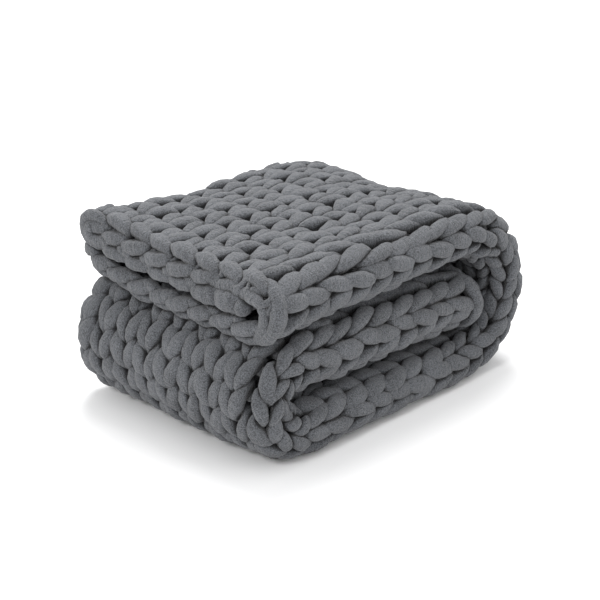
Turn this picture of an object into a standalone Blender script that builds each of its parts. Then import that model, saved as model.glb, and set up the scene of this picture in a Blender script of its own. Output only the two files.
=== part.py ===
"""A chunky hand-knitted weighted blanket, folded for a shelf or a sofa's end.

The cloth is one piece. It is folded in three along its length, like a letter, which
makes a strip with three layers, and the strip is then turned in on itself twice. From
its loose end on top the strip runs along +X, bends down and back under itself, rolls up
at the other end and comes back along the middle, where its other end is tucked in.

Metres, +Z up. The strip runs along X. The origin is under the middle of the fold, at
the level of the surface that it lies on.
"""

import math
from typing import NamedTuple

import bpy
import numpy as np

# Sizes of the strip, in metres.
STRIP_WIDTH = 0.402
LAYER_GAP = 0.003
INNER_WING_INSET = 0.030  # how far the tucked-in wing stops short of the wrap round it
OUTER_WING_INSET = 0.016  # how far the lowest wing stops short of the far side
EDGE_ROUND = 0.009  # the length over which a free edge thins out
EDGE_THINNING = 0.55  # thickness left at the free edge
PATH_STEP = 0.001  # the step with which the fold's path is worked out
BEND_EASE = 0.036  # the length over which a straight stretch eases into a bend


class Leg(NamedTuple):
    """One stretch of the strip, measured on its outer face.

    thickness and shift, the strip's sideways drift, are those where the leg starts.
    """

    name: str
    length: float
    turn_deg: float
    thickness: float
    shift: float
    stations: int


LEGS = (
    Leg("flap", 0.410, 0.0, 0.086, 0.001, 8),
    Leg("front bend", math.pi * 0.141, 180.0, 0.086, -0.003, 15),
    Leg("bottom run", 0.348, 0.0, 0.062, 0.003, 7),
    Leg("back roll", math.radians(183.0) * 0.095, 183.0, 0.085, -0.002, 15),
    Leg("middle run", 0.376, 0.0, 0.090, 0.001, 7),
    Leg("tucked end", 0.0, 0.0, 0.095, 0.003, 0),
)

# Points round each wrap of the letter fold, and along each of its flat layers.
FAR_WRAP_POINTS = 7
NEAR_WRAP_POINTS = 9
FLAT_POINTS = 4


class Dip(NamedTuple):
    """A soft rise or dip of the pile: where it is, how wide it is and its share of the height."""

    x: float
    y: float
    reach_x: float
    reach_y: float
    share: float


DIPS = (
    Dip(-0.30, 0.24, 0.16, 0.16, 0.040),  # the loose end stands high at the far side
    Dip(-0.02, 0.24, 0.14, 0.12, -0.070),  # the far side sinks between its ends
    Dip(0.27, 0.24, 0.16, 0.14, -0.115),  # the bend droops at its far corner
    Dip(0.26, -0.04, 0.13, 0.20, -0.050),  # the bend sags between its sides
)


def leg_starts():
    """How far along the outer face each leg starts."""
    return np.cumsum([0.0] + [leg.length for leg in LEGS[:-1]])


def outer_path():
    """The outer face's path in the X-Z plane, with the inward normal, thickness and shift at each step.

    The heading is a running sum of the legs' turns, averaged over BEND_EASE so that the
    bends start softly, and the path is the running sum of the steps in that heading.
    """
    starts = leg_starts()
    turned = np.radians(np.cumsum([0.0] + [leg.turn_deg for leg in LEGS[:-1]]))
    along = np.arange(0.0, starts[-1], PATH_STEP)
    window = int(BEND_EASE / PATH_STEP)
    padded = np.interp(np.arange(-window, len(along) + window) * PATH_STEP, starts, turned)
    heading = np.convolve(padded, np.full(window, 1.0 / window), mode="same")[window:-window]
    x = np.cumsum(np.cos(heading)) * PATH_STEP
    z = -np.cumsum(np.sin(heading)) * PATH_STEP
    thickness = np.interp(along, starts, [leg.thickness for leg in LEGS])
    shift = np.interp(along, starts, [leg.shift for leg in LEGS])
    x -= (x.min() + x.max()) / 2
    z -= z.min()
    z[z < PATH_STEP * 0.1] = 0.0
    inward = np.stack([-np.sin(heading), -np.cos(heading)], axis=1)
    return along, np.stack([x, z], axis=1), inward, thickness, shift


def letter_fold(thickness):
    """The strip's section as the middle line of the cloth, its face side's normals and half thickness.

    Points are (across, inward). From the free edge inside the fold the line runs across
    the middle layer, round the far side into the outer layer, back across it, round the
    near side and across the inner layer to the other free edge.
    """
    cloth = (thickness - 2 * LAYER_GAP) / 3
    far_radius, near_radius = (cloth + LAYER_GAP) / 2, cloth + LAYER_GAP
    far_side = STRIP_WIDTH / 2 - far_radius - cloth / 2
    near_side = -STRIP_WIDTH / 2 + near_radius + cloth / 2
    outer, middle = cloth / 2, cloth / 2 + near_radius
    inner = middle + near_radius
    across_middle = np.linspace(near_side + INNER_WING_INSET, far_side, FLAT_POINTS + 1)[:-1]
    across_outer = np.linspace(far_side, near_side, FLAT_POINTS + 2)[1:-1]
    across_inner = np.linspace(near_side, STRIP_WIDTH / 2 - OUTER_WING_INSET, FLAT_POINTS + 1)[1:]
    across_middle = np.insert(across_middle, 1, across_middle[0] + EDGE_ROUND)
    across_inner = np.insert(across_inner, -1, across_inner[-1] - EDGE_ROUND)
    far = np.linspace(0, math.pi, FAR_WRAP_POINTS)
    near = np.linspace(0, math.pi, NEAR_WRAP_POINTS)
    far_normal = np.stack([np.sin(far), np.cos(far)], axis=1)
    near_normal = np.stack([-np.sin(near), -np.cos(near)], axis=1)

    def flat(across, depth):
        return np.stack([across, np.full(len(across), depth)], axis=1)

    line = np.concatenate([
        flat(across_middle, middle),
        [far_side, (outer + middle) / 2] + far_radius * far_normal,
        flat(across_outer, outer),
        [near_side, middle] + near_radius * near_normal,
        flat(across_inner, inner),
    ])
    normal = np.concatenate([
        np.tile([0.0, 1.0], (len(across_middle), 1)),
        far_normal,
        np.tile([0.0, -1.0], (len(across_outer), 1)),
        near_normal,
        np.tile([0.0, 1.0], (len(across_inner), 1)),
    ])
    half = np.full(len(line), cloth / 2)
    half[[0, -1]] *= EDGE_THINNING
    return line, normal, half


def stations():
    """The places along the path where the section is set, and the share of its thickness left at each.

    A leg's places stand half a step in from its ends. The flat foot under the bottom run
    so ends with clear corners, and the next sections stand over 1 mm higher.
    """
    starts = leg_starts()
    places = [
        start + (end - start) * (np.arange(leg.stations) + 0.5) / leg.stations
        for leg, start, end in zip(LEGS, starts[:-1], starts[1:])
    ]
    last = starts[-1] - 2 * PATH_STEP
    places = np.concatenate([[0.0, EDGE_ROUND], *places, [last - EDGE_ROUND, last]])
    share = np.ones(len(places))
    share[[0, -1]] = EDGE_THINNING
    return places, share


def settle(points):
    """Lets the pile rise and dip: each height is scaled by one plus the sum of the soft bumps in DIPS."""
    x, y = points[..., 0], points[..., 1]
    scale = np.ones(x.shape)
    for dip in DIPS:
        scale += dip.share * np.exp(-(((x - dip.x) / dip.reach_x) ** 2) - ((y - dip.y) / dip.reach_y) ** 2)
    points[..., 2] *= scale
    return points


def folded_cloth():
    """The blanket's points, a ring for each station: the face side's line, then the back's in reverse."""
    along, path, inward, thickness, shift = outer_path()
    rings = []
    for place, share in zip(*stations()):
        at = min(int(round(place / PATH_STEP)), len(along) - 1)
        line, normal, half = letter_fold(thickness[at])
        half = half * share
        section = np.concatenate([line + normal * half[:, None], (line - normal * half[:, None])[::-1]])
        ring = np.empty((len(section), 3))
        ring[:, 1] = section[:, 0] + shift[at]
        ring[:, [0, 2]] = path[at] + section[:, 1:] * inward[at]
        rings.append(ring)
    points = settle(np.array(rings))
    flat = points.reshape(-1, 3)
    points[..., :2] -= (flat.min(axis=0)[:2] + flat.max(axis=0)[:2]) / 2
    return points


def blanket_mesh():
    """Joins each ring to the next, and closes the two cut ends with a ladder of quads from face to back."""
    points = folded_cloth()
    count, around = points.shape[:2]
    ring = np.arange(around)
    after = np.roll(ring, -1)
    faces = []
    for i in range(count - 1):
        low, high = i * around, (i + 1) * around
        faces += np.stack([low + ring, low + after, high + after, high + ring], axis=1).tolist()
    rungs = np.arange(around // 2 - 1)
    opposite = around - 1 - rungs
    first = np.stack([rungs, opposite, opposite - 1, rungs + 1], axis=1)
    last = (count - 1) * around + first[:, ::-1]
    faces += first.tolist() + last.tolist()
    mesh = bpy.data.meshes.new("blanket")
    mesh.from_pydata(points.reshape(-1, 3).tolist(), [], faces)
    mesh.update()
    return mesh


def yarn_material():
    """Mid grey cotton jersey, matt."""
    material = bpy.data.materials.new("grey jersey yarn")
    material.use_nodes = True
    shader = material.node_tree.nodes["Principled BSDF"]
    shader.inputs["Base Color"].default_value = (0.125, 0.130, 0.137, 1.0)
    shader.inputs["Roughness"].default_value = 0.95
    shader.inputs["Metallic"].default_value = 0.0
    return material


def main():
    for thing in list(bpy.data.objects):
        bpy.data.objects.remove(thing, do_unlink=True)
    mesh = blanket_mesh()
    mesh.materials.append(yarn_material())
    mesh.shade_smooth()
    mesh.set_sharp_from_angle(angle=math.radians(50))
    blanket = bpy.data.objects.new("blanket", mesh)
    bpy.context.scene.collection.objects.link(blanket)


main()
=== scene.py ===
"""A folded weighted blanket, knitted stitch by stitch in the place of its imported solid.

The cloth is plain stockinette from one thick padded jersey tube. Every stitch is real
yarn: a course is one tube that runs through all of its wales, and each point of it is
given in cloth terms (wale, distance along the cloth, rise over its middle surface).
The fold then carries those points round the letter fold and along the flat spiral that
the solid has, so the knit lies in the solid's layers.

Metres, +Z up. The strip runs along X, its loose end at -X on top.
"""

import math
from typing import NamedTuple

import bpy
import numpy as np
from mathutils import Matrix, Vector


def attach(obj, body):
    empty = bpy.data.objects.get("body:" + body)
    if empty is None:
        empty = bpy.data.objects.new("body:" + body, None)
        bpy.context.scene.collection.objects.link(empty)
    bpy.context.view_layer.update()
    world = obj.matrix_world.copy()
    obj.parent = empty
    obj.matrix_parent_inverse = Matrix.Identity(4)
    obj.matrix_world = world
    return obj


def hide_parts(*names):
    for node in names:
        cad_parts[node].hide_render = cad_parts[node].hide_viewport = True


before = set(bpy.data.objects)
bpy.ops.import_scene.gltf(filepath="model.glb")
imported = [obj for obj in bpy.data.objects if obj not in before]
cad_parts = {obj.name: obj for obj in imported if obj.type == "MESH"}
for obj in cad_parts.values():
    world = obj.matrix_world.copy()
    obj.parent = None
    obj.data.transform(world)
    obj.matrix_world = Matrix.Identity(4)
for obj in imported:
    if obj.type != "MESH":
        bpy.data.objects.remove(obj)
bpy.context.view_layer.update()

bl_info = {
    "name": "Folded Knitted Blanket",
    "version": (1, 0, 0),
    "blender": (4, 5, 0),
    "location": "3D View > Sidebar > Blanket",
    "description": "Knits a folded weighted blanket from one thick yarn",
    "category": "Add Mesh",
}

NODE = "blanket"
BODY = "root"

# --------------------------------------------------------------------------- the fold

STRIP_WIDTH = 0.402
LAYER_GAP = 0.003
INNER_WING_INSET = 0.030  # how far the tucked-in wing stops short of the near wrap
OUTER_WING_INSET = 0.016  # how far the lowest wing stops short of the far side
FAR_WRAP_ROOM = 0.85  # the share of the far wrap's radius that the yarn may use towards its centre
PATH_STEP = 0.001
BEND_EASE = 0.036  # the length over which a straight stretch eases into a bend
UNSTRETCHED = 0.10  # the share of the strip's thickness at which the knit keeps its own length
RUN_OUT = 0.040  # how far the path goes on past each end of the cloth
DROOP_REACH = 0.035  # how far along the cloth the loose end's droop fades
DROOP_WIDTH = 0.362  # the width between the two lines where it is nothing
FLATTENING_HEIGHT = 0.006  # below it the yarn is pressed flat by the floor


class Leg(NamedTuple):
    """One stretch of the strip, measured on its outer face.

    thickness and shift, the strip's sideways drift, are those where the leg starts.
    """

    name: str
    length: float
    turn_deg: float
    thickness: float
    shift: float


LEGS = (
    Leg("flap", 0.410, 0.0, 0.086, 0.001),
    Leg("front_bend", math.pi * 0.141, 180.0, 0.086, -0.003),
    Leg("bottom_run", 0.348, 0.0, 0.062, 0.003),
    Leg("back_roll", math.radians(183.0) * 0.095, 183.0, 0.085, -0.002),
    Leg("middle_run", 0.376, 0.0, 0.090, 0.001),
    Leg("tucked_end", 0.0, 0.0, 0.095, 0.003),
)


class Dip(NamedTuple):
    """A soft rise or dip of the pile: where it is, how wide it is and its share of the height."""

    x: float
    y: float
    reach_x: float
    reach_y: float
    share: float


DIPS = (
    Dip(-0.30, 0.24, 0.16, 0.16, 0.040),
    Dip(-0.02, 0.24, 0.14, 0.12, -0.070),
    Dip(0.27, 0.24, 0.16, 0.14, -0.115),
    Dip(0.26, -0.04, 0.13, 0.20, -0.050),
    Dip(0.25, 0.03, 0.11, 0.075, -0.055),
)

# Sines for soft unevenness: how fine each is across the cloth and along it, and its strength.
SWELLS = ((0.9, 1.3, 0.30), (2.1, -2.7, 0.26), (-3.2, 4.1, 0.22), (4.6, 7.3, 0.14), (6.9, -10.2, 0.08))
SWELL_WALE = 0.25  # the radians that a wale stands for, times a sine's fineness across
SWELL_METRE = 4.0  # and those that a metre stands for, times its fineness along
SWELL_PHASE = 1.7  # what the start is multiplied by to give the first sine's phase


def swell(wale, along, start):
    """A smooth field between about -1 and 1: a sum of the sines in SWELLS, whose phases begin at start."""
    total = np.zeros(np.broadcast(wale, along).shape)
    for number, (across_waves, along_waves, strength) in enumerate(SWELLS):
        phase = start * (SWELL_PHASE + number) + number * number
        angle = across_waves * wale * SWELL_WALE + along_waves * along * SWELL_METRE + phase
        total += strength * np.sin(angle)
    return total


class Fold:
    """Carries a place on the flat cloth to its place in the folded pile.

    The path is the outer face of the strip in the X-Z plane: its heading is a running sum
    of the legs' turns, averaged over BEND_EASE, and the path is the running sum of steps in
    that heading. Distance along the cloth is measured at the UNSTRETCHED depth.
    """

    def __init__(self):
        starts = np.cumsum([0.0] + [leg.length for leg in LEGS[:-1]])
        turned = np.radians(np.cumsum([0.0] + [leg.turn_deg for leg in LEGS[:-1]]))
        steps = np.arange(-RUN_OUT, starts[-1] + RUN_OUT, PATH_STEP)
        window = int(BEND_EASE / PATH_STEP)
        spread = (np.arange(len(steps) + 2 * window) - window) * PATH_STEP - RUN_OUT
        raw = np.interp(spread, starts, turned)
        heading = np.convolve(raw, np.full(window, 1.0 / window), mode="same")[window:-window]
        cloth = (steps >= 0) & (steps <= starts[-1])
        x = np.cumsum(np.cos(heading)) * PATH_STEP
        z = -np.cumsum(np.sin(heading)) * PATH_STEP
        self.x = x - (x[cloth].min() + x[cloth].max()) / 2
        self.z = z - z[cloth].min()
        self.inward_x, self.inward_z = -np.sin(heading), -np.cos(heading)
        self.thickness = np.interp(steps, starts, [leg.thickness for leg in LEGS])
        self.shift = np.interp(steps, starts, [leg.shift for leg in LEGS])
        self.curve = np.gradient(heading) / PATH_STEP
        even_x = self.x + self.inward_x * self.thickness * UNSTRETCHED
        even_z = self.z + self.inward_z * self.thickness * UNSTRETCHED
        run = np.concatenate([[0.0], np.cumsum(np.hypot(np.diff(even_x), np.diff(even_z)))])
        self.along = run - np.interp(0.0, steps, run)
        self.leg_starts = np.interp(starts, steps, self.along)
        self.length = self.leg_starts[-1]

    def place(self, knit, wale, along, rise):
        """Points, face normals and crowding of places given as wale, distance along the cloth and rise.

        Across the strip, the distance over the cloth turns into sines and cosines of the two
        wraps' angles and straight runs between them. The depth so found is then measured
        from the path along its inward normal. Crowding is how long a step along the cloth is
        there, as a share of the same step at the UNSTRETCHED depth.

        At the loose end the lower layers hang: the droop fades with an exponential along
        the cloth, grows with depth from nothing on the face, and across the strip is the
        square root of a half sine.
        """
        read = [
            np.interp(along, self.along, values)
            for values in (
                self.x, self.z, self.inward_x, self.inward_z, self.thickness, self.shift, self.curve
            )
        ]
        x, z, inward_x, inward_z, thickness, shift, curve = read
        cloth = (thickness - 2 * LAYER_GAP) / 3
        near = cloth + LAYER_GAP
        far = near / 2
        near_side = -STRIP_WIDTH / 2 + near + cloth / 2
        face_run = STRIP_WIDTH / 2 - far - cloth / 2 - near_side
        wing_run = face_run - INNER_WING_INSET
        last_run = STRIP_WIDTH / 2 - OUTER_WING_INSET - near_side
        far_end = wing_run + math.pi * far
        near_start = far_end + face_run
        near_end = near_start + math.pi * near
        total = near_end + last_run
        edge = near_start + knit.edge_lead
        over = np.where(
            wale < knit.edge_wale,
            wale / knit.edge_wale * edge,
            edge + (wale - knit.edge_wale) / (knit.wales - knit.edge_wale) * (total - edge),
        )
        far_angle = np.clip((over - wing_run) / far, 0.0, math.pi)
        near_angle = np.clip((over - near_start) / near, 0.0, math.pi)
        across = (
            near_side
            + INNER_WING_INSET
            + np.minimum(over, wing_run)
            + far * np.sin(far_angle)
            - np.clip(over - far_end, 0.0, face_run)
            - near * np.sin(near_angle)
            + np.maximum(over - near_end, 0.0)
        )
        depth = cloth / 2 + near - far * (1 - np.cos(far_angle)) + near * (1 - np.cos(near_angle))
        turn = far_angle + near_angle
        in_far_wrap = (far_angle > 0) & (far_angle < math.pi)
        rise = np.where(in_far_wrap, np.maximum(rise, -FAR_WRAP_ROOM * far), rise)
        rise = rise * np.sqrt(cloth / knit.cloth_thickness)
        across = across + rise * np.sin(turn)
        depth = depth + rise * np.cos(turn)
        from_end = np.exp(-np.maximum(along, 0.0) / DROOP_REACH)
        from_near = np.clip(across / DROOP_WIDTH + 0.5, 0.0, 1.0)
        droop = knit.end_droop * from_end * np.clip(depth / thickness, 0, 1)
        droop = droop * np.sqrt(np.sin(math.pi * from_near))
        points = np.stack([x + depth * inward_x, across + shift, z + depth * inward_z - droop], axis=-1)
        normals = np.stack([np.cos(turn) * inward_x, np.sin(turn), np.cos(turn) * inward_z], axis=-1)
        crowding = (1 - curve * depth) / (1 - curve * thickness * UNSTRETCHED)
        return points, normals, crowding


def settle(points):
    """Lets the pile rise and dip by the soft bumps in DIPS, and flattens what meets the floor.

    A height h below FLATTENING_HEIGHT becomes that height times exp(h / it - 1), so it nears
    zero and never goes under.
    """
    x, y = points[..., 0], points[..., 1]
    scale = np.ones(x.shape)
    for dip in DIPS:
        scale += dip.share * np.exp(-(((x - dip.x) / dip.reach_x) ** 2) - ((y - dip.y) / dip.reach_y) ** 2)
    points[..., 2] *= scale
    height, flat = points[..., 2], FLATTENING_HEIGHT
    pressed = flat * np.exp(np.minimum(height, flat) / flat - 1)
    points[..., 2] = np.where(height < flat, pressed, height)
    return points


# ------------------------------------------------------------------------- the stitch


class Knot(NamedTuple):
    """One point of the yarn's way through the left half of a stitch.

    across is in wales from the stitch's middle, up in courses from the row's middle and
    rise in shares of the knit's depth. width and depth are the yarn's, as shares of its
    own, and leg says how much the point belongs to the leg that shows.
    """

    across: float
    up: float
    rise: float
    width: float
    depth: float
    leg: float


HALF_STITCH = (
    Knot(-0.50, -0.64, -1.20, 0.75, 0.80, 0.0),
    Knot(-0.28, -0.69, -1.05, 0.60, 0.80, 0.0),
    Knot(-0.11, -0.61, -0.35, 0.38, 0.80, 0.3),
    Knot(-0.14, -0.35, 0.64, 0.80, 1.00, 0.8),
    Knot(-0.25, 0.03, 1.00, 1.08, 1.05, 1.0),
    Knot(-0.34, 0.39, 0.72, 0.90, 1.00, 0.8),
    Knot(-0.37, 0.69, -0.25, 0.44, 0.80, 0.3),
    Knot(-0.20, 0.85, -1.05, 0.60, 0.80, 0.0),
)
HEAD = Knot(0.0, 0.90, -1.20, 0.75, 0.80, 0.0)
SAMPLES = 28  # rings of each stitch
SIDES = 12  # points of each ring
SQUARENESS = 2.7  # 2 would make the yarn's section an ellipse, and more makes its shoulders squarer
LUMPINESS = 0.075  # how much the stuffing's lumps add to the yarn's radius or take from it, as a share
LUMP_WAVES = (150.0, 290.0)  # the two waves of the lumps, in radians a metre of yarn
LUMP_PHASES = (2.4, 1.1)  # how much further on each begins than on the tube before
EDGE_LENGTHENING = 0.40  # how much longer the legs are along the near fold
EDGE_SLIMMING = 0.12  # and how much thinner
EDGE_REACH = 0.9  # how far to each side of the fold's first wale line this fades, in wales
TIGHT_BEND = 10.0  # the bend, one over its radius, at which they are no longer than elsewhere
OPENING_RISE = 0.25  # within how many wales the opening beside that line is full
OPENING_REACH = 0.8  # and within how many it fades again
TURN_SAMPLES = 5  # rings of each quarter turn at the selvedge
TURN_REACH = 0.30  # in wales, how far the turn stands out
TURN_WIDTH = 0.8  # the share of the yarn's width at the turn's start
STAND_BACK_REACH = 0.14  # how far along the cloth the set-back of the loose end fades

# How much a leg's place across, up and rise, and its width and depth, may differ at an
# unevenness of one. Places are in wales, courses and shares of the knit's depth.
LEG_DIFFERENCES = (0.07, 0.07, 0.24, 0.12, 0.08)
DRIFT_ALONG = 0.10  # the soft drift of the stitches along the cloth, in courses
DRIFT_ACROSS = 0.09  # and across it, in wales
LIFT = 0.0022  # the soft rise and fall of the cloth
LIFT_FINENESS = 1.6  # how much finer that is than the drifts
DRIFT_ALONG_START, DRIFT_ACROSS_START, LIFT_START = 3.0, 8.0, 5.0


def catmull(values, at):
    """A Catmull-Rom curve through rows of values, at fractional row numbers.

    The numbers are one or more rows inside both ends.
    """
    row = np.minimum(at.astype(int), len(values) - 3)
    t = (at - row)[:, None]
    a, b, c, d = (values[row + k] for k in (-1, 0, 1, 2))
    return b + 0.5 * t * (c - a + t * (2 * a - 5 * b + 4 * c - d + t * (3 * (b - c) + d - a)))


def stitch_way():
    """The yarn's way through one stitch from foot to foot, a row for each ring.

    The columns are a Knot's fields, with the left and the right leg's weight apart. The
    right half mirrors the left, and the curve runs on into the next stitch's foot.
    """
    left = [(*knot[:5], knot.leg, 0.0) for knot in HALF_STITCH]
    head = [(*HEAD[:5], 0.0, 0.0)]
    right = [(-k.across, k.up, k.rise, k.width, k.depth, 0.0, k.leg) for k in HALF_STITCH[:0:-1]]
    one = np.array(left + head + right)
    step = np.array([1.0] + [0.0] * 6)
    three = np.concatenate([one - step, one, one + step])
    at = len(one) * (1 + np.arange(SAMPLES) / SAMPLES)
    return catmull(three, at)


def even_noise(rows, columns, seed):
    """Even random numbers between -1 and 1, one for each stitch."""
    return np.random.default_rng(seed).uniform(-1.0, 1.0, (rows, columns))


class Knit:
    """The knit's own measures, read once from the settings."""

    def __init__(self, settings, fold):
        self.wales = settings.wales
        self.courses = settings.courses
        self.edge_wale = settings.edge_wale
        self.edge_lead = settings.edge_lead
        self.edge_opening = settings.edge_opening
        self.far_wale = int(settings.set_back_wale)
        self.half_width = settings.yarn_width / 2
        self.half_depth = settings.yarn_depth / 2
        self.rise = settings.loop_rise
        self.sink = settings.sink
        self.uneven = settings.unevenness
        self.seed = settings.seed
        self.cloth_thickness = (LEGS[0].thickness - 2 * LAYER_GAP) / 3
        self.margin = settings.edge_margin
        self.set_back = settings.set_back
        self.set_back_wale = settings.set_back_wale
        self.end_droop = settings.end_droop
        self.corner_fullness = settings.corner_fullness
        self.course_height = (fold.length - 2 * self.margin) / self.courses
        self.fold = fold

    def stand_back(self, wale):
        """How far the loose end stands back: fully on the inner wing, then less over one wale."""
        return self.set_back * np.clip(self.set_back_wale + 1.0 - wale, 0.0, 1.0)

    def edge_gap(self, wale):
        """How far the stitches beside the near fold's first wale line are pushed off it, in wales."""
        off = wale - self.edge_wale
        return self.edge_opening * np.tanh(off / OPENING_RISE) * np.exp(-((off / OPENING_REACH) ** 2))

    def row_middle(self, course):
        """The distance along the cloth of a course's middle."""
        return self.margin + (course + 0.5) * self.course_height


def course_lines(knit):
    """All courses in cloth terms, as arrays of (course, ring): wale, along, rise, width and depth.

    A course is its stitches' ways set side by side, with a quarter turn at each end that
    meets the next course's, so the yarn goes on from course to course. Each leg is shifted
    and plumped by its own random share, weighted by how much of the ring is leg. Along the
    near fold the legs are longer and thinner, by a bell curve over the wales, and less so
    where the strip bends. Last, slow sums of sines shift and lift the whole cloth.
    """
    way = stitch_way()
    courses, wales = knit.courses, knit.wales
    course = np.arange(courses)[:, None]
    shape = (courses, wales, SAMPLES)
    across = np.arange(wales)[:, None] + 0.5 + way[:, 0]
    columns = (across, way[:, 1], way[:, 2], way[:, 3], way[:, 4])
    rows = [np.broadcast_to(column, shape).copy() for column in columns]
    for side, weight in ((0, way[:, 5]), (1, way[:, 6])):
        for number, (row, strength) in enumerate(zip(rows, LEG_DIFFERENCES)):
            share = even_noise(courses, wales, knit.seed + 10 * side + number)[..., None] * knit.uneven
            row += share * strength * weight
    across, up, rise, width, depth = (row.reshape(courses, -1) for row in rows)

    # The quarter turns, from the foot outwards, and the course that each one meets.
    turn = np.linspace(0.0, 1.0, TURN_SAMPLES + 1)[1:]
    foot = HALF_STITCH[0]
    reach = TURN_REACH * np.sin(turn * math.pi / 2)
    climb = 0.5 * (1 - np.cos(turn * math.pi / 2))
    turn_width = TURN_WIDTH + (1 - TURN_WIDTH) * turn
    goes_up = np.where(course % 2 == 0, 1.0, -1.0)
    flat = np.ones((courses, 1))
    last = [wales * flat, foot.up * flat, foot.rise * flat, foot.width * flat, foot.depth * flat]
    right = [
        wales + reach * flat,
        foot.up + climb * goes_up,
        (foot.rise + turn) * flat,
        turn_width * flat,
        flat + 0 * turn,
    ]
    left = [
        -reach[::-1] * flat,
        foot.up - climb[::-1] * goes_up,
        (foot.rise + turn[::-1]) * flat,
        turn_width[::-1] * flat,
        flat + 0 * turn,
    ]
    across, up, rise, width, depth = (
        np.concatenate(parts, axis=1) for parts in zip(left, (across, up, rise, width, depth), last, right)
    )

    at_edge = np.exp(-(((across - knit.edge_wale) / EDGE_REACH) ** 2))
    bend = np.interp(knit.row_middle(course), knit.fold.along, knit.fold.curve)
    up = up * (1 + EDGE_LENGTHENING * at_edge * (1 - bend / TIGHT_BEND))
    width = width * (1 - EDGE_SLIMMING * at_edge)
    along = knit.row_middle(course) + up * knit.course_height
    along = along + knit.stand_back(across) * np.exp(-np.maximum(along, 0.0) / STAND_BACK_REACH)
    drift = knit.uneven * knit.course_height
    along = along + drift * DRIFT_ALONG * swell(across, along, DRIFT_ALONG_START)
    across = across + knit.uneven * DRIFT_ACROSS * swell(across, along, DRIFT_ACROSS_START)
    across = across + knit.edge_gap(across)
    lift = knit.uneven * LIFT * swell(across * LIFT_FINENESS, along * LIFT_FINENESS, LIFT_START)
    rise = rise * knit.rise + lift - knit.sink
    return across, along, rise, width * knit.half_width, depth * knit.half_depth


# -------------------------------------------------------------------------- the yarn

TIP_SHARES = (0.45, 0.85)  # the shares of its girth that a yarn keeps at its last two rings
PINCH_GAIN = 3.0  # how quickly narrow yarn counts as pinched
# Crowded yarn gets narrower, down to CROWDING_FLOOR, and drawn-out yarn too.
CROWDING_FLOOR = 0.45
CROWDED_POWER = 0.6
DRAWN_OUT_POWER = 0.9


def unit(vectors):
    """Vectors drawn to a length of one."""
    return vectors / np.maximum(np.linalg.norm(vectors, axis=-1, keepdims=True), 1e-12)


def tube_points(line, normal, width, depth):
    """Rings round each line, set square to it and level with the cloth's face, and its running length.

    A ring is a squarish oval of the half sizes width and depth: the cosine and the sine of
    its angle, each to the power 2 / SQUARENESS. Its first side is at the back of the cloth.
    The lumps are the product of two sines that wind round the yarn in opposite ways.
    Arrays are (tube, ring, ...) and the rings come as (tube, ring, side, 3).
    """
    heading = unit(np.gradient(line, axis=1))
    side = unit(np.cross(heading, normal))
    face = np.cross(side, heading)
    angle = np.arange(SIDES) / SIDES * 2 * math.pi - math.pi / 2
    cosine, sine = (np.sign(v) * np.abs(v) ** (2 / SQUARENESS) for v in (np.cos(angle), np.sin(angle)))
    steps = np.linalg.norm(np.diff(line, axis=1), axis=2)
    run = np.concatenate([np.zeros((len(line), 1)), np.cumsum(steps, axis=1)], axis=1)
    tube = np.arange(len(line))[:, None, None]
    slow, quick = (waves * run[..., None] for waves in LUMP_WAVES)
    one_way = np.sin(slow + 2 * angle + LUMP_PHASES[0] * tube)
    other_way = np.sin(quick - angle + LUMP_PHASES[1] * tube)
    lump = 1 + LUMPINESS * one_way * other_way
    points = (
        line[:, :, None]
        + side[:, :, None] * (width[..., None] * cosine * lump)[..., None]
        + face[:, :, None] * (depth[..., None] * sine * lump)[..., None]
    )
    return points, run


def tube_mesh(name, points, run, pinch, girth):
    """One mesh of all tubes, with closed ends.

    Its UV map holds metres along the yarn and round it, and its pinch attribute says how
    tightly the yarn is squeezed at each point.
    """
    tubes, rings, sides = points.shape[:3]
    first = np.arange(tubes)[:, None, None] * rings * sides
    ring = np.arange(rings - 1)[None, :, None] * sides
    side = np.arange(sides)[None, None, :]
    after = (side + 1) % sides
    this, following = first + ring, first + ring + sides
    quads = np.stack(
        np.broadcast_arrays(this + side, following + side, following + after, this + after), axis=-1
    ).reshape(-1, 4)
    start_caps = first[:, 0] + np.arange(sides)[None, :]
    end_caps = first[:, 0] + (rings - 1) * sides + np.arange(sides)[None, ::-1]
    caps = np.concatenate([start_caps, end_caps])
    mesh = bpy.data.meshes.new(name)
    mesh.vertices.add(points.size // 3)
    mesh.vertices.foreach_set("co", points.reshape(-1).astype(np.float32))
    corners = np.concatenate([quads.reshape(-1), caps.reshape(-1)])
    mesh.loops.add(len(corners))
    mesh.loops.foreach_set("vertex_index", corners.astype(np.int32))
    sizes = np.concatenate([np.full(len(quads), 4), np.full(len(caps), sides)])
    mesh.polygons.add(len(sizes))
    mesh.polygons.foreach_set("loop_start", np.concatenate([[0], np.cumsum(sizes)[:-1]]).astype(np.int32))
    mesh.update(calc_edges=True)
    mesh.validate()

    length = np.repeat(run.reshape(-1), sides)
    round_share = np.tile(np.arange(sides) / sides, tubes * rings)
    u = length[corners]
    v = round_share[corners]
    quad_v = v[: quads.size].reshape(-1, 4)
    quad_v[:, 2:] = np.where(quad_v[:, 2:] == 0.0, 1.0, quad_v[:, 2:])
    layer = mesh.uv_layers.new(name="yarn")
    layer.uv.foreach_set("vector", np.stack([u, v * girth], axis=1).astype(np.float32).reshape(-1))
    attribute = mesh.attributes.new("pinch", "FLOAT", "POINT")
    attribute.data.foreach_set("value", np.repeat(pinch.reshape(-1), sides).astype(np.float32))
    mesh.shade_smooth()
    return mesh


def closed_ends(width, depth):
    """Draws both ends of each tube in to a blunt tip."""
    shares = np.ones(width.shape[1])
    for ring, share in enumerate(TIP_SHARES):
        shares[[ring, -1 - ring]] = share
    return width * shares, depth * shares


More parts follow.
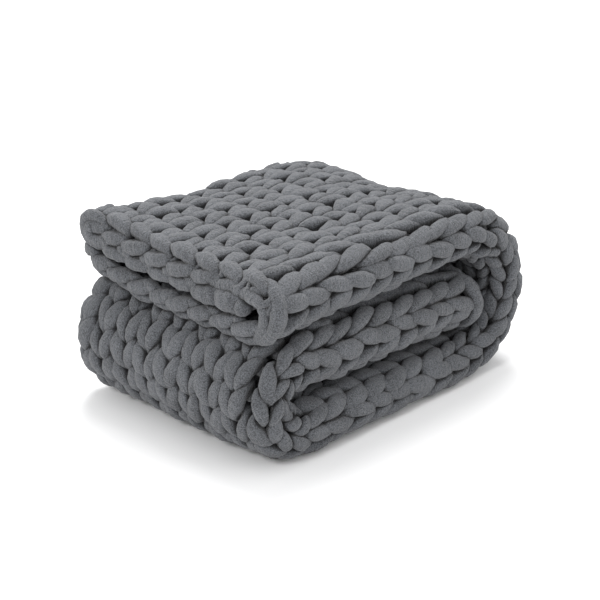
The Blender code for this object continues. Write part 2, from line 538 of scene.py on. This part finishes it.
def add_yarn(context, name, knit, wale, along, rise, width, depth):
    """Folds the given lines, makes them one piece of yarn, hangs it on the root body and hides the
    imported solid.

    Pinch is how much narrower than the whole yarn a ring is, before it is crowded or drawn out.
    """
    pinch = np.clip((1.0 - width / knit.half_width) * PINCH_GAIN, 0.0, 1.0)
    line, normal, crowding = knit.fold.place(knit, wale, along, rise)
    squeeze = np.clip(crowding, CROWDING_FLOOR, 1.0) ** CROWDED_POWER
    squeeze = squeeze / np.maximum(crowding, 1.0) ** DRAWN_OUT_POWER
    width, depth = closed_ends(width * squeeze, depth * squeeze**0.5)
    points, run = tube_points(line, normal, width, depth)
    girth = math.pi * (knit.half_width + knit.half_depth)
    mesh = tube_mesh(name, settle(points), run, pinch, girth)
    mesh.materials.append(yarn_material(context.scene.blanket_colours))
    piece = bpy.data.objects.new(name, mesh)
    context.collection.objects.link(piece)
    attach(piece, BODY)
    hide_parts(NODE)
    return piece


# --------------------------------------------------------------------- the end chains


class Link(NamedTuple):
    """One point of a leg of an end chain's link.

    wale counts from the link's start. beyond is how far it lies past the edge of the
    courses, and rise how far over the cloth's middle, both in yarn half widths.
    """

    wale: float
    beyond: float
    rise: float
    width: float
    depth: float


FACE_LEG = (
    Link(-0.30, -1.10, -0.30, 0.36, 0.6),
    Link(-0.02, -0.64, 0.34, 0.80, 0.9),
    Link(0.40, -0.22, 0.72, 1.04, 1.0),
    Link(0.84, 0.16, 0.46, 0.80, 0.9),
    Link(1.12, 0.36, -0.20, 0.36, 0.6),
)
EDGE_LEG = (
    Link(-0.20, 0.20, -1.00, 0.34, 0.6),
    Link(0.08, 0.58, -0.86, 0.78, 0.9),
    Link(0.48, 0.78, -0.58, 0.98, 1.0),
    Link(0.88, 0.62, -0.24, 0.78, 0.9),
    Link(1.18, 0.10, -0.10, 0.34, 0.6),
)
LINK_RINGS = 26
INNER_SPREAD = 0.35  # the share of their height over the cloth that both legs keep on the inner wing
LAST_DROP = 0.3  # how much is added to it on the lowest wing, which faces down, in yarn half widths
FOLD_FORWARD = 0.75  # how much further out the face leg comes round a fold, in yarn half widths

# Where along the chain these set in, in wales.
FOLD_REACH = 0.8  # to each side of a fold's middle
FAR_FOLD_MIDDLE, NEAR_FOLD_MIDDLE = 1.1, 1.0  # past the far and the near fold's first wale
PAST_FAR, PAST_NEAR = 0.5, 1.2  # the start of the change beyond each fold
PAST_REACH = 0.8  # and how long it takes
CORNER_MIDDLE, CORNER_REACH = 0.6, 1.0  # the full corner of the inner wing

# How much a leg's place along its chain, beyond and rise, and its width, may differ at an
# unevenness of one.
LINK_DIFFERENCES = (0.05, 0.0015, 0.0012, 0.10)
CHAIN_SEED = 40  # how far the chains' random draws start from the stitches'


def chain_lines(knit, at_start):
    """The links of the chain along one end of the cloth, in cloth terms.

    Each link has two legs, one on the face and one on the edge, and both run on under the
    next link. The links that go round the two folds are drawn out over two wales. There the
    face leg comes further out, by a bell curve round each fold's middle. At the loose end,
    the links at the inner wing's corner are fuller, by another.
    """
    fold = knit.fold
    edge = knit.margin if at_start else fold.length - knit.margin
    outward = -1.0 if at_start else 1.0
    skipped = (knit.far_wale + 1, knit.edge_wale + 1)
    starts = np.array([wale for wale in range(knit.wales) if wale not in skipped], dtype=float)
    spans = np.diff(np.append(starts, knit.wales))
    fold_middles = (knit.far_wale + FAR_FOLD_MIDDLE, knit.edge_wale + NEAR_FOLD_MIDDLE)
    at = np.linspace(1.0, len(FACE_LEG) - 1e-6, LINK_RINGS)
    arrays = []
    for leg, forward in ((FACE_LEG, FOLD_FORWARD), (EDGE_LEG, 0.0)):
        knots = np.array(leg)
        knots = np.concatenate([2 * knots[:1] - knots[1:2], knots, 2 * knots[-1:] - knots[-2:-1]])
        shape = catmull(knots, at)
        wale = starts[:, None] + spans[:, None] * shape[:, 0]
        back = knit.stand_back(wale) if at_start else 0.0
        at_fold = sum(np.exp(-(((wale - middle) / FOLD_REACH) ** 2)) for middle in fold_middles)
        beyond = (shape[:, 1] + forward * at_fold) * knit.half_width
        past_far = np.clip((wale - knit.far_wale - PAST_FAR) / PAST_REACH, 0.0, 1.0)
        past_near = np.clip((wale - knit.edge_wale - PAST_NEAR) / PAST_REACH, 0.0, 1.0)
        height = shape[:, 2] * (INNER_SPREAD + (1 - INNER_SPREAD) * past_far) + LAST_DROP * past_near
        rise = height * knit.half_width
        at_corner = np.exp(-(((wale - CORNER_MIDDLE) / CORNER_REACH) ** 2))
        full = 1 + at_start * knit.corner_fullness * at_corner
        arrays.append((wale, edge + back + outward * beyond, rise, shape[:, 3] * full, shape[:, 4] * full))
    wale, along, rise, width, depth = (np.concatenate(pair) for pair in zip(*arrays))
    for_wale, for_along, for_rise, for_width = (
        difference * (even_noise(len(wale), 1, knit.seed + CHAIN_SEED + number) * knit.uneven)
        for number, difference in enumerate(LINK_DIFFERENCES)
    )
    return (
        wale + for_wale,
        along + for_along,
        rise + for_rise - knit.sink,
        width * knit.half_width * (1 + for_width),
        depth * knit.half_depth,
    )


# ------------------------------------------------------------------------- the finish

FINE_SHARE, BROAD_SHARE = 0.95, 0.20  # of the two noises in the heather
BROAD_SCALE = 28.0
DARKEST, LIGHTEST = 0.44, 0.71  # the sums of the two where the dark and the light colour are full
RIB_HEIGHT = 0.04
CREASE_SCALE = (190.0, 30.0, 1.0)  # noise waves a metre along the yarn and round it
GRAIN_SCALE = (26.0, 190.0, 1.0)
CREASE_SHARE, CREASE_GRAIN_SHARE = 1.3, 0.5
GRAIN_HEIGHT = 0.12
PINCHED, UNPINCHED = 0.75, 0.45  # how much of the creases pinching adds, and how much is there without
CREASE_STRENGTH = 1.4
FLECK_HEIGHT = 0.60
RELIEF = 0.0030  # metres for a height of one
# Painted shade: where ambient occlusion finds the next yarn near, the yarn's base colour is darkened
# towards a near-black painted shade colour.
GAP_SAMPLES = 8
OPEN_GAP = 0.88  # the share of open air over a spot where the hollow colour begins
SHUT_GAP = 0.43  # and that where it is full


def socket(tree, name, kind, default=None, into=True):
    """Gives a node group an input, or an output if into is false."""
    made = tree.interface.new_socket(name=name, in_out="INPUT" if into else "OUTPUT", socket_type=kind)
    if default is not None:
        made.default_value = default
    return made


def node(tree, kind, **settings):
    """Adds a node and sets its own settings."""
    made = tree.nodes.new(kind)
    for key, value in settings.items():
        setattr(made, key, value)
    return made


def math_node(tree, operation, first, second=None):
    """Adds a math node over one or two numbers or sockets, and returns its result."""
    made = node(tree, "ShaderNodeMath", operation=operation)
    for index, value in enumerate((first, second)):
        if value is None:
            continue
        if isinstance(value, (int, float)):
            made.inputs[index].default_value = value
        else:
            tree.links.new(value, made.inputs[index])
    return made.outputs[0]


def noise(tree, vector, scale, detail=2.0, roughness=0.5):
    """Adds a noise over the given coordinates, and returns its height."""
    made = node(tree, "ShaderNodeTexNoise")
    made.inputs["Scale"].default_value = scale
    made.inputs["Detail"].default_value = detail
    made.inputs["Roughness"].default_value = roughness
    tree.links.new(vector, made.inputs["Vector"])
    return made.outputs["Fac"]


def heather_group():
    """Mottled jersey: fine light and dark flecks over broad soft changes of tone.

    The colour is a mix of dark and light by two noises, and fleck is the fine one's height.
    """
    name = "Heather"
    if name in bpy.data.node_groups:
        return bpy.data.node_groups[name]
    tree = bpy.data.node_groups.new(name, "ShaderNodeTree")
    socket(tree, "Dark", "NodeSocketColor", (0.1, 0.1, 0.1, 1))
    socket(tree, "Light", "NodeSocketColor", (0.3, 0.3, 0.3, 1))
    socket(tree, "Fleck Size", "NodeSocketFloat", 0.0015)
    socket(tree, "Color", "NodeSocketColor", into=False)
    socket(tree, "Fleck", "NodeSocketFloat", into=False)
    given = node(tree, "NodeGroupInput")
    put = node(tree, "NodeGroupOutput")
    place = node(tree, "ShaderNodeTexCoord").outputs["Object"]
    fine_place = node(tree, "ShaderNodeVectorMath", operation="SCALE")
    tree.links.new(place, fine_place.inputs[0])
    tree.links.new(math_node(tree, "DIVIDE", 1.0, given.outputs["Fleck Size"]), fine_place.inputs["Scale"])
    fine = noise(tree, fine_place.outputs[0], 1.0, 2.0, 0.6)
    broad = noise(tree, place, BROAD_SCALE, 2.0)
    fine_part = math_node(tree, "MULTIPLY", fine, FINE_SHARE)
    share = math_node(tree, "ADD", fine_part, math_node(tree, "MULTIPLY", broad, BROAD_SHARE))
    stretch = node(tree, "ShaderNodeMapRange")
    stretch.inputs["From Min"].default_value = DARKEST
    stretch.inputs["From Max"].default_value = LIGHTEST
    tree.links.new(share, stretch.inputs["Value"])
    mix = node(tree, "ShaderNodeMix", data_type="RGBA")
    tree.links.new(stretch.outputs["Result"], mix.inputs["Factor"])
    tree.links.new(given.outputs["Dark"], mix.inputs["A"])
    tree.links.new(given.outputs["Light"], mix.inputs["B"])
    tree.links.new(mix.outputs["Result"], put.inputs["Color"])
    tree.links.new(fine, put.inputs["Fleck"])
    return tree


def jersey_group():
    """The jersey's relief as one height: fine ribs along the yarn, and creases across it.

    The ribs are a sine round the yarn. The creases and the grain are noises drawn out round
    it and along it, and the creases are stronger where it is squeezed.
    """
    name = "Jersey"
    if name in bpy.data.node_groups:
        return bpy.data.node_groups[name]
    tree = bpy.data.node_groups.new(name, "ShaderNodeTree")
    socket(tree, "Rib Spacing", "NodeSocketFloat", 0.002)
    socket(tree, "Crease Strength", "NodeSocketFloat", 1.0)
    socket(tree, "Height", "NodeSocketFloat", into=False)
    given = node(tree, "NodeGroupInput")
    put = node(tree, "NodeGroupOutput")
    over = node(tree, "ShaderNodeUVMap", uv_map="yarn").outputs["UV"]
    parts = node(tree, "ShaderNodeSeparateXYZ")
    tree.links.new(over, parts.inputs[0])
    whole_turns = math_node(tree, "MULTIPLY", parts.outputs["Y"], 2 * math.pi)
    waves = math_node(tree, "DIVIDE", whole_turns, given.outputs["Rib Spacing"])
    ribs = math_node(tree, "MULTIPLY", math_node(tree, "SINE", waves), RIB_HEIGHT)
    stretched = node(tree, "ShaderNodeMapping")
    stretched.inputs["Scale"].default_value = CREASE_SCALE
    tree.links.new(over, stretched.inputs["Vector"])
    across = noise(tree, stretched.outputs[0], 1.0, 3.0, 0.55)
    lengthwise = node(tree, "ShaderNodeMapping")
    lengthwise.inputs["Scale"].default_value = GRAIN_SCALE
    tree.links.new(over, lengthwise.inputs["Vector"])
    grain = noise(tree, lengthwise.outputs[0], 1.0, 2.0, 0.5)
    across_part = math_node(tree, "MULTIPLY", across, CREASE_SHARE)
    crease = math_node(tree, "ADD", across_part, math_node(tree, "MULTIPLY", grain, CREASE_GRAIN_SHARE))
    pinch = node(tree, "ShaderNodeAttribute", attribute_name="pinch").outputs["Fac"]
    where = math_node(tree, "ADD", math_node(tree, "MULTIPLY", pinch, PINCHED), UNPINCHED)
    strength = math_node(tree, "MULTIPLY", where, given.outputs["Crease Strength"])
    ribs_and_creases = math_node(tree, "ADD", ribs, math_node(tree, "MULTIPLY", crease, strength))
    height = math_node(tree, "ADD", ribs_and_creases, math_node(tree, "MULTIPLY", grain, GRAIN_HEIGHT))
    tree.links.new(height, put.inputs["Height"])
    return tree


def yarn_material(colours):
    """Matt grey cotton jersey: heathered colour, fine ribs and creases, and a light sheen.

    Between yarns it goes over to the dark painted shade colour, by how closed in the spot is:
    the share of open air within the gap reach falls from OPEN_GAP to SHUT_GAP.
    """
    name = "grey jersey yarn"
    if name in bpy.data.materials:
        return bpy.data.materials[name]
    material = bpy.data.materials.new(name)
    material.use_nodes = True
    tree = material.node_tree
    shader = tree.nodes["Principled BSDF"]
    shader.inputs["Roughness"].default_value = 0.92
    shader.inputs["Specular IOR Level"].default_value = 0.25
    shader.inputs["Sheen Weight"].default_value = 0.18
    shader.inputs["Sheen Roughness"].default_value = 0.6
    heather = node(tree, "ShaderNodeGroup", node_tree=heather_group())
    heather.inputs["Dark"].default_value = (*colours.dark, 1.0)
    heather.inputs["Light"].default_value = (*colours.light, 1.0)
    heather.inputs["Fleck Size"].default_value = colours.fleck_size
    jersey = node(tree, "ShaderNodeGroup", node_tree=jersey_group())
    jersey.inputs["Rib Spacing"].default_value = colours.rib_spacing
    jersey.inputs["Crease Strength"].default_value = CREASE_STRENGTH
    # Painted shade between yarns: the base colour goes over to a near-black colour where ambient occlusion
    # finds the next yarn within the gap reach.
    gap = node(tree, "ShaderNodeAmbientOcclusion", samples=GAP_SAMPLES)
    gap.inputs["Distance"].default_value = colours.painted_shade_reach
    depth = node(tree, "ShaderNodeMapRange", interpolation_type="SMOOTHSTEP")
    depth.inputs["From Min"].default_value = OPEN_GAP
    depth.inputs["From Max"].default_value = SHUT_GAP
    tree.links.new(gap.outputs["AO"], depth.inputs["Value"])
    shadow = node(tree, "ShaderNodeMix", data_type="RGBA")
    shadow.inputs["B"].default_value = (*colours.painted_shade, 1.0)
    tree.links.new(depth.outputs["Result"], shadow.inputs["Factor"])
    tree.links.new(heather.outputs["Color"], shadow.inputs["A"])
    tree.links.new(shadow.outputs["Result"], shader.inputs["Base Color"])
    flecks = math_node(tree, "MULTIPLY", heather.outputs["Fleck"], FLECK_HEIGHT)
    height = math_node(tree, "ADD", jersey.outputs["Height"], flecks)
    bump = node(tree, "ShaderNodeBump")
    bump.inputs["Strength"].default_value = 1.0
    bump.inputs["Distance"].default_value = RELIEF
    tree.links.new(height, bump.inputs["Height"])
    tree.links.new(bump.outputs["Normal"], shader.inputs["Normal"])
    return material


def floor_material():
    """Plain pale matt white."""
    material = bpy.data.materials.new("plain floor")
    material.use_nodes = True
    shader = material.node_tree.nodes["Principled BSDF"]
    shader.inputs["Base Color"].default_value = (0.895, 0.895, 0.897, 1.0)
    shader.inputs["Roughness"].default_value = 0.9
    shader.inputs["Specular IOR Level"].default_value = 0.1
    return material


# ----------------------------------------------------------------------- the settings


class BlanketKnit(bpy.types.PropertyGroup):
    """The knit's measures"""

    wales: bpy.props.IntProperty(name="Wales", description="Stitches across the open cloth", default=25)
    courses: bpy.props.IntProperty(name="Courses", description="Rows along the open cloth", default=42)
    edge_wale: bpy.props.IntProperty(
        name="Edge Wale", description="The wale that starts at the near fold of the strip", default=15
    )
    edge_lead: bpy.props.FloatProperty(
        name="Edge Lead",
        description="How far round the near fold that wale starts",
        default=0.009,
        unit="LENGTH",
    )
    edge_opening: bpy.props.FloatProperty(
        name="Edge Opening",
        description="How far the near fold pulls its first wale line open, in wales",
        default=0.10,
    )
    yarn_width: bpy.props.FloatProperty(
        name="Yarn Width",
        description="Across the yarn, level with the cloth",
        default=0.0252,
        unit="LENGTH",
    )
    yarn_depth: bpy.props.FloatProperty(
        name="Yarn Depth",
        description="Through the yarn, square to the cloth",
        default=0.0215,
        unit="LENGTH",
    )
    loop_rise: bpy.props.FloatProperty(
        name="Loop Rise",
        description="How far the legs stand out from the middle of the cloth",
        default=0.0068,
        unit="LENGTH",
    )
    sink: bpy.props.FloatProperty(
        name="Sink",
        description="How far the knit lies below the middle of the solid's layers",
        default=0.002,
        unit="LENGTH",
    )
    edge_margin: bpy.props.FloatProperty(
        name="End Margin",
        description="Cloth left for the chain at each end",
        default=0.016,
        unit="LENGTH",
    )
    set_back: bpy.props.FloatProperty(
        name="Set Back",
        description="How far the inner wing's loose end is drawn in, or stands out if negative",
        default=-0.001,
        unit="LENGTH",
    )
    set_back_wale: bpy.props.FloatProperty(
        name="Set Back Wale", description="The last wale of the inner wing that is drawn in", default=6.2
    )
    end_droop: bpy.props.FloatProperty(
        name="End Droop",
        description="How far the lowest layer hangs down at the loose end",
        default=0.024,
        unit="LENGTH",
    )
    corner_fullness: bpy.props.FloatProperty(
        name="Corner Fullness",
        description="How much thicker the rolled corner of the inner wing is",
        default=0.55,
    )
    unevenness: bpy.props.FloatProperty(
        name="Unevenness", description="How much hand-knit stitches differ", default=1.5, min=0.0, max=2.0
    )
    seed: bpy.props.IntProperty(name="Seed", description="Start of the random draws", default=7)


class BlanketColours(bpy.types.PropertyGroup):
    """The yarn's colours, the painted shade between its stitches and the sizes of its texture"""

    dark: bpy.props.FloatVectorProperty(
        name="Dark",
        description="The yarn's darker flecks",
        default=(0.037, 0.0392, 0.0435),
        subtype="COLOR",
    )
    light: bpy.props.FloatVectorProperty(
        name="Light",
        description="The yarn's lighter flecks",
        default=(0.127, 0.1335, 0.1465),
        subtype="COLOR",
    )
    # Painted shade: the near-black base colour that the yarn takes deep between stitches.
    painted_shade: bpy.props.FloatVectorProperty(
        name="Hollow",
        description="The yarn where hardly any light gets, deep between stitches",
        default=(0.006, 0.006, 0.007),
        subtype="COLOR",
    )
    # The reach of the ambient occlusion that paints the shade between yarns.
    painted_shade_reach: bpy.props.FloatProperty(
        name="Gap Reach",
        description="How near the next yarn must be for a spot to count as hollow",
        default=0.011,
        unit="LENGTH",
    )
    fleck_size: bpy.props.FloatProperty(
        name="Fleck Size", description="Size of the heather's flecks", default=0.0017, unit="LENGTH"
    )
    rib_spacing: bpy.props.FloatProperty(
        name="Rib Spacing", description="Between two ribs of the jersey", default=0.0022, unit="LENGTH"
    )


class BlanketStage(bpy.types.PropertyGroup):
    """The camera, the floor and the even light"""

    azimuth: bpy.props.FloatProperty(
        name="Azimuth",
        description="Camera's turn from the front",
        default=math.radians(-46),
        subtype="ANGLE",
    )
    elevation: bpy.props.FloatProperty(
        name="Elevation",
        description="Camera's height over the horizon",
        default=math.radians(24),
        subtype="ANGLE",
    )
    distance: bpy.props.FloatProperty(
        name="Distance", description="From the target", default=2.7, unit="LENGTH"
    )
    lens: bpy.props.FloatProperty(name="Lens", description="Focal length in millimetres", default=108.0)
    target: bpy.props.FloatVectorProperty(
        name="Target",
        description="What the camera looks at",
        default=(-0.0084, 0.0002, 0.1268),
        subtype="XYZ",
    )
    floor_size: bpy.props.FloatProperty(
        name="Floor Size", description="Side of the floor", default=14.0, unit="LENGTH"
    )
    sky: bpy.props.FloatProperty(
        name="Sky", description="Strength of the even light from all round", default=1.0
    )


# ---------------------------------------------------------------------- the operators


class BLANKET_OT_knit_cloth(bpy.types.Operator):
    """Knits all courses, one piece for each stretch of the fold"""

    bl_idname = "blanket.knit_cloth"
    bl_label = "Knit Cloth"

    def execute(self, context):
        fold = Fold()
        knit = Knit(context.scene.blanket_knit, fold)
        wale, along, rise, width, depth = course_lines(knit)
        middles = knit.row_middle(np.arange(knit.courses))
        leg = np.searchsorted(fold.leg_starts[1:-1], middles)
        for number, stretch in enumerate(LEGS[:-1]):
            rows = leg == number
            chosen = (values[rows] for values in (wale, along, rise, width, depth))
            add_yarn(context, "knit_" + stretch.name, knit, *chosen)
        return {"FINISHED"}


class BLANKET_OT_chain_ends(bpy.types.Operator):
    """Works the chain along the cast-on and the bound-off end"""

    bl_idname = "blanket.chain_ends"
    bl_label = "Chain Ends"

    def execute(self, context):
        knit = Knit(context.scene.blanket_knit, Fold())
        for name, at_start in (("chain_loose_end", True), ("chain_tucked_end", False)):
            add_yarn(context, name, knit, *chain_lines(knit, at_start))
        return {"FINISHED"}


class Lamp(NamedTuple):
    """A round soft light: its name, place, what it points at, its size and its power in watts."""

    name: str
    place: tuple
    target: tuple
    size: float
    power: float


LAMPS = (
    Lamp("key", (0.9, 0.9, 2.8), (0.0, 0.0, 0.10), 1.8, 82.0),
    Lamp("fill", (-2.4, -0.6, 1.9), (0.0, 0.0, 0.15), 0.7, 30.0),
    Lamp("front", (1.0, -2.6, 1.3), (0.0, 0.0, 0.12), 1.2, 9.0),
)
FLOOR_DROP = 0.0005  # how far the floor lies under the blanket
SENSOR_WIDTH = 36.0  # of the camera, in millimetres


def area_light(context, name, place, target, size, power):
    """Hangs a round soft light at place, facing target."""
    data = bpy.data.lights.new(name, "AREA")
    data.energy = power
    data.shape = "DISK"
    data.size = size
    light = bpy.data.objects.new(name, data)
    light.location = place
    light.rotation_euler = (Vector(target) - Vector(place)).to_track_quat("-Z", "Y").to_euler()
    context.collection.objects.link(light)


class BLANKET_OT_stage(bpy.types.Operator):
    """Sets the floor, the soft studio light and the camera"""

    bl_idname = "blanket.stage"
    bl_label = "Stage"

    def execute(self, context):
        stage = context.scene.blanket_stage
        half = stage.floor_size / 2
        mesh = bpy.data.meshes.new("floor")
        corners = ((-half, -half), (half, -half), (half, half), (-half, half))
        mesh.from_pydata([(x, y, -FLOOR_DROP) for x, y in corners], [], [(0, 1, 2, 3)])
        mesh.materials.append(floor_material())
        floor = bpy.data.objects.new("floor", mesh)
        context.collection.objects.link(floor)

        world = bpy.data.worlds.new("studio")
        world.use_nodes = True
        background = world.node_tree.nodes["Background"]
        background.inputs["Color"].default_value = (1.0, 1.0, 1.0, 1.0)
        background.inputs["Strength"].default_value = stage.sky
        context.scene.world = world
        context.scene.view_settings.view_transform = "Standard"
        for lamp in LAMPS:
            area_light(context, *lamp)

        turn, lift = stage.azimuth, stage.elevation
        back = Vector((math.sin(turn) * math.cos(lift), -math.cos(turn) * math.cos(lift), math.sin(lift)))
        data = bpy.data.cameras.new("camera")
        data.lens = stage.lens
        data.sensor_width = SENSOR_WIDTH
        camera = bpy.data.objects.new("camera", data)
        camera.location = Vector(stage.target) + back * stage.distance
        camera.rotation_euler = (-back).to_track_quat("-Z", "Y").to_euler()
        context.collection.objects.link(camera)
        context.scene.camera = camera
        return {"FINISHED"}


class BLANKET_PT_panel(bpy.types.Panel):
    """Lists the blanket's settings and steps"""

    bl_label = "Folded Blanket"
    bl_idname = "BLANKET_PT_panel"
    bl_space_type = "VIEW_3D"
    bl_region_type = "UI"
    bl_category = "Blanket"

    def draw(self, context):
        for group, step in (
            (context.scene.blanket_knit, "blanket.knit_cloth"),
            (context.scene.blanket_colours, "blanket.chain_ends"),
            (context.scene.blanket_stage, "blanket.stage"),
        ):
            box = self.layout.box()
            for name in group.__annotations__:
                box.prop(group, name)
            box.operator(step)


GROUPS = {"blanket_knit": BlanketKnit, "blanket_colours": BlanketColours, "blanket_stage": BlanketStage}
STEPS = (BLANKET_OT_knit_cloth, BLANKET_OT_chain_ends, BLANKET_OT_stage)


def register():
    for kind in (*GROUPS.values(), *STEPS, BLANKET_PT_panel):
        bpy.utils.register_class(kind)
    for name, kind in GROUPS.items():
        setattr(bpy.types.Scene, name, bpy.props.PointerProperty(type=kind))


def unregister():
    for name in GROUPS:
        delattr(bpy.types.Scene, name)
    for kind in (BLANKET_PT_panel, *reversed(STEPS), *reversed(GROUPS.values())):
        bpy.utils.unregister_class(kind)


def main():
    register()
    bpy.ops.blanket.stage()
    bpy.ops.blanket.knit_cloth()
    bpy.ops.blanket.chain_ends()


if __name__ == "__main__":
    main()
